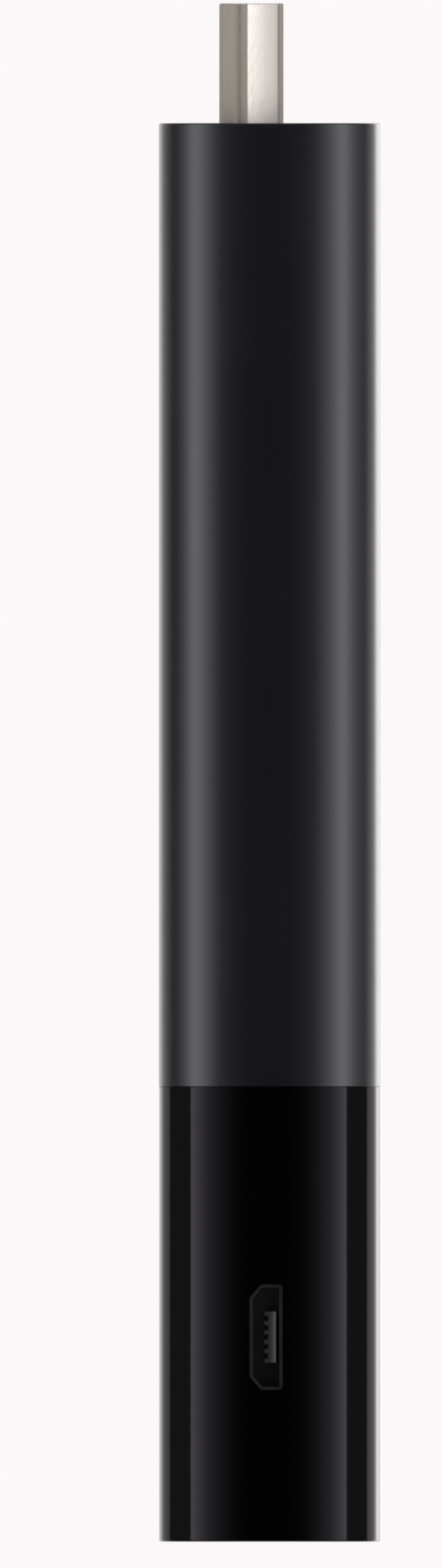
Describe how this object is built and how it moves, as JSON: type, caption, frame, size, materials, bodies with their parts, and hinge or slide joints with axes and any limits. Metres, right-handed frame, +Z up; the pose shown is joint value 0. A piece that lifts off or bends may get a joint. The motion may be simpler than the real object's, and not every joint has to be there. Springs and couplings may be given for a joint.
{
  "type": "streaming stick",
  "caption": "Upright streaming stick: full-round matt sleeve and gloss end cap round a heat-spread circuit board, with a video plug on top and a power port in the narrow side.",
  "frame": {"origin": "middle of the flat bottom face of the end cap, on which the stick stands", "axes": "+Z up along the stick towards the video plug, +X out of the narrow side with the power port, -Y out of the front broad face"},
  "size_m": [0.0294, 0.0154, 0.1068],
  "materials": {
    "sleeve_plastic": "fine matt moulded texture",
    "cap_plastic": "polished gloss",
    "clear_plastic": "clear, polished",
    "plated_steel": "satin nickel plating",
    "dark_plated_steel": "dark nickel plating",
    "plug_plastic": "plain moulded",
    "port_plastic": "plain moulded",
    "gold_contact": "thin gold plating",
    "circuit_board": "green solder mask",
    "aluminium": "die cast, bead blasted",
    "screw_steel": "zinc plated",
    "tinned_steel": "tin plated sheet",
    "chip_resin": "moulded epoxy",
    "thermal_silicone": "soft, slightly tacky",
    "ferrite": "pressed ferrite",
    "capacitor_ceramic": "fired ceramic with tinned ends",
    "resistor_ceramic": "glazed top",
    "light_resin": "clear resin over phosphor"
  },
  "bodies": {
    "root": {"main_sleeve": "sleeve_plastic", "end_cap": "cap_plastic", "light_guide": "clear_plastic", "plug_shell": "plated_steel", "plug_insulator": "plug_plastic", "plug_wide_row_contacts": "gold_contact", "plug_narrow_row_contacts": "gold_contact", "port_shell": "dark_plated_steel", "port_insulator": "port_plastic", "port_contacts": "gold_contact", "main_board": "circuit_board", "rear_heatsink": "aluminium", "front_heat_plate": "aluminium", "board_screws": "screw_steel", "rear_can_fence": "tinned_steel", "rear_can_lid": "tinned_steel", "front_can_fence": "tinned_steel", "front_can_lid": "tinned_steel", "processor_substrate": "circuit_board", "processor_mould": "chip_resin", "processor_pad": "thermal_silicone", "memory_chips": "chip_resin", "flash_chip": "chip_resin", "flash_pad": "thermal_silicone", "rear_pad": "thermal_silicone", "front_pad": "thermal_silicone", "radio_board": "circuit_board", "radio_can": "tinned_steel", "side_antenna": "tinned_steel", "end_antenna": "tinned_steel", "status_light": "light_resin", "power_regulators": "chip_resin", "power_inductors": "ferrite", "input_fuse": "resistor_ceramic", "clock_crystal": "tinned_steel", "surge_arrays": "chip_resin", "ceramic_capacitors": "capacitor_ceramic", "chip_resistors": "resistor_ceramic"}
  },
  "joints": []
}
